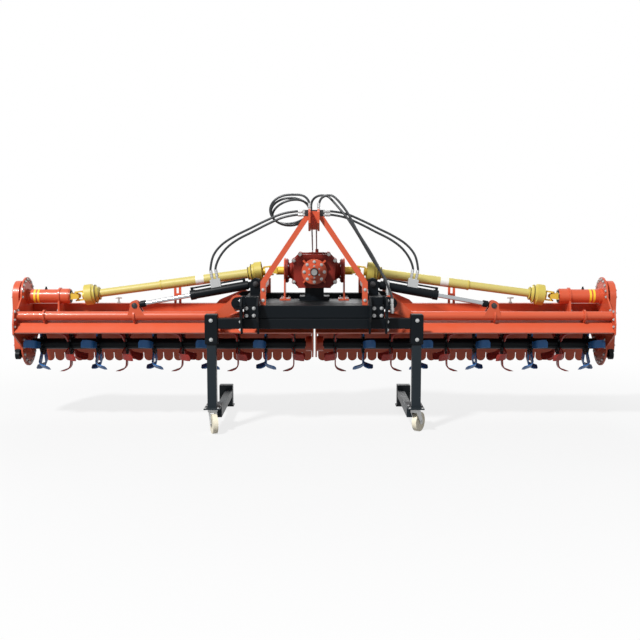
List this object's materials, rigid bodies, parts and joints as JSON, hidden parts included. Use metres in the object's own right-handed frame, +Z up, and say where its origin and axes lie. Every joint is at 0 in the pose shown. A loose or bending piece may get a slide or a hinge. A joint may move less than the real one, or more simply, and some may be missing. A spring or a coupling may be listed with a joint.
{
  "type": "rotary tiller",
  "caption": "Folding rotary tiller for a three-point hitch: two tined rotors under hoods on wings that fold up on hydraulic cylinders, side drives and a castor stand.",
  "frame": {"origin": "on the ground, in the middle of the width and depth", "axes": "+X along the rotors to the machine's left, +Y backwards away from the tractor, +Z up"},
  "size_m": [4.85, 1.235, 1.825],
  "materials": {
    "black_paint": "semi-gloss paint",
    "red_paint": "gloss paint",
    "grey_paint": "satin paint",
    "tine_steel": "painted",
    "chrome": "polished chrome",
    "guard_plastic": "satin plastic",
    "yellow_steel": "passivated",
    "zinc": "zinc plate",
    "nylon": "matt plastic",
    "rubber": "satin"
  },
  "bodies": {
    "frame": {"main_beam": "black_paint", "centre_frame": "black_paint", "hitch_plates": "black_paint", "headstock": "red_paint", "mast_stays": "grey_paint", "gearbox": "red_paint", "gearbox_mounts": "red_paint", "output_yokes": "yellow_steel", "castor_beam": "black_paint", "hose_block": "zinc", "hose_coil": "rubber", "feed_hose_a": "rubber", "feed_hose_b": "rubber", "hose_couplers": "zinc", "fold_hose_a_left": "rubber", "fold_hose_b_left": "rubber", "fold_hose_a_right": "rubber", "fold_hose_b_right": "rubber"},
    "wing_left": {"hood_left": "red_paint", "wing_tubes_left": "red_paint", "rear_beam_left": "red_paint", "hinge_arms_left": "red_paint", "side_plate_left": "red_paint", "side_case_left": "red_paint", "input_housing_left": "red_paint", "inner_plate_left": "red_paint"},
    "board_left": {"rear_board_left": "red_paint"},
    "rotor_body_left": {"rotor_left": "tine_steel"},
    "barrel_left": {"fold_barrel_left": "black_paint"},
    "rod_left": {"fold_rod_left": "chrome"},
    "shaft_in_left": {"shaft_inner_left": "guard_plastic"},
    "shaft_out_left": {"shaft_outer_left": "guard_plastic"},
    "stand_leg_left": {"stand_left": "black_paint"},
    "castor_left": {"castor_fork_left": "zinc"},
    "wheel_left": {"castor_wheel_left": "nylon"},
    "wing_right": {"hood_right": "red_paint", "wing_tubes_right": "red_paint", "rear_beam_right": "red_paint", "hinge_arms_right": "red_paint", "side_plate_right": "red_paint", "side_case_right": "red_paint", "input_housing_right": "red_paint", "inner_plate_right": "red_paint"},
    "board_right": {"rear_board_right": "red_paint"},
    "rotor_body_right": {"rotor_right": "tine_steel"},
    "barrel_right": {"fold_barrel_right": "black_paint"},
    "rod_right": {"fold_rod_right": "chrome"},
    "shaft_in_right": {"shaft_inner_right": "guard_plastic"},
    "shaft_out_right": {"shaft_outer_right": "guard_plastic"},
    "stand_leg_right": {"stand_right": "black_paint"},
    "castor_right": {"castor_fork_right": "zinc"},
    "wheel_right": {"castor_wheel_right": "nylon"}
  },
  "joints": [
    {"name": "fold_left", "type": "hinge", "parent": "frame", "child": "wing_left", "pos_m": [0.59, 0.0725, 0.989], "axis": [0, -1, 0], "range_deg": [0, 90]},
    {"name": "board_swing_left", "type": "hinge", "parent": "wing_left", "child": "board_left", "pos_m": [1.15, 0.3905, 0.73], "axis": [1, 0, 0], "range_deg": [0, 30]},
    {"name": "rotor_spin_left", "type": "hinge", "parent": "wing_left", "child": "rotor_body_left", "pos_m": [1.15, 0.0725, 0.618], "axis": [1, 0, 0], "continuous": true},
    {"name": "barrel_pivot_left", "type": "hinge", "parent": "frame", "child": "barrel_left", "pos_m": [0.456, -0.2175, 1.129], "axis": [0, -1, 0], "range_deg": [-1, 90], "deforming": ["fold_hose_a_left", "fold_hose_b_left"]},
    {"name": "rod_slide_left", "type": "slide", "parent": "barrel_left", "child": "rod_left", "axis": [-0.9845, 0, 0.1755], "range_m": [-0.002, 0.275]},
    {"name": "shaft_swing_left", "type": "hinge", "parent": "frame", "child": "shaft_in_left", "pos_m": [0.356, 0.0725, 1.217], "axis": [0, -1, 0], "range_deg": [-1, 90]},
    {"name": "shaft_slide_left", "type": "slide", "parent": "shaft_in_left", "child": "shaft_out_left", "axis": [-0.9913, 0, 0.1313], "range_m": [-0.002, 0.46]},
    {"name": "stand_drop_left", "type": "slide", "parent": "frame", "child": "stand_leg_left", "axis": [0, 0, -1], "range_m": [0, 0.15]},
    {"name": "castor_swivel_left", "type": "hinge", "parent": "stand_leg_left", "child": "castor_left", "pos_m": [0.78, -0.4475, 0.172], "axis": [0, 0, 1], "continuous": true},
    {"name": "wheel_spin_left", "type": "hinge", "parent": "castor_left", "child": "wheel_left", "pos_m": [0.80614, -0.40724, 0.075], "axis": [-0.8387, 0.5446, 0], "continuous": true},
    {"name": "fold_right", "type": "hinge", "parent": "frame", "child": "wing_right", "pos_m": [-0.59, 0.0725, 0.989], "axis": [0, 1, 0], "range_deg": [0, 90]},
    {"name": "board_swing_right", "type": "hinge", "parent": "wing_right", "child": "board_right", "pos_m": [-1.15, 0.3905, 0.73], "axis": [1, 0, 0], "range_deg": [0, 30]},
    {"name": "rotor_spin_right", "type": "hinge", "parent": "wing_right", "child": "rotor_body_right", "pos_m": [-1.15, 0.0725, 0.618], "axis": [1, 0, 0], "continuous": true},
    {"name": "barrel_pivot_right", "type": "hinge", "parent": "frame", "child": "barrel_right", "pos_m": [-0.456, -0.2175, 1.129], "axis": [0, 1, 0], "range_deg": [-1, 90], "deforming": ["fold_hose_a_right", "fold_hose_b_right"]},
    {"name": "rod_slide_right", "type": "slide", "parent": "barrel_right", "child": "rod_right", "axis": [0.9845, 0, 0.1755], "range_m": [-0.002, 0.275]},
    {"name": "shaft_swing_right", "type": "hinge", "parent": "frame", "child": "shaft_in_right", "pos_m": [-0.356, 0.0725, 1.217], "axis": [0, 1, 0], "range_deg": [-1, 90]},
    {"name": "shaft_slide_right", "type": "slide", "parent": "shaft_in_right", "child": "shaft_out_right", "axis": [0.9913, 0, 0.1313], "range_m": [-0.002, 0.46]},
    {"name": "stand_drop_right", "type": "slide", "parent": "frame", "child": "stand_leg_right", "axis": [0, 0, -1], "range_m": [0, 0.15]},
    {"name": "castor_swivel_right", "type": "hinge", "parent": "stand_leg_right", "child": "castor_right", "pos_m": [-0.78, -0.4475, 0.172], "axis": [0, 0, 1], "continuous": true},
    {"name": "wheel_spin_right", "type": "hinge", "parent": "castor_right", "child": "wheel_right", "pos_m": [-0.76517, -0.49315, 0.075], "axis": [0.9511, 0.309, 0], "continuous": true}
  ],
  "couplings": [
    {"joint": "barrel_pivot_left", "follows": "fold_left", "ratio": 0.96125},
    {"joint": "rod_slide_left", "follows": "fold_left", "m_per_rad": 0.17158},
    {"joint": "shaft_swing_left", "follows": "fold_left", "ratio": 0.96267},
    {"joint": "shaft_slide_left", "follows": "fold_left", "m_per_rad": 0.28983},
    {"joint": "barrel_pivot_right", "follows": "fold_right", "ratio": 0.96125},
    {"joint": "rod_slide_right", "follows": "fold_right", "m_per_rad": 0.17158},
    {"joint": "shaft_swing_right", "follows": "fold_right", "ratio": 0.96267},
    {"joint": "shaft_slide_right", "follows": "fold_right", "m_per_rad": 0.28983}
  ]
}
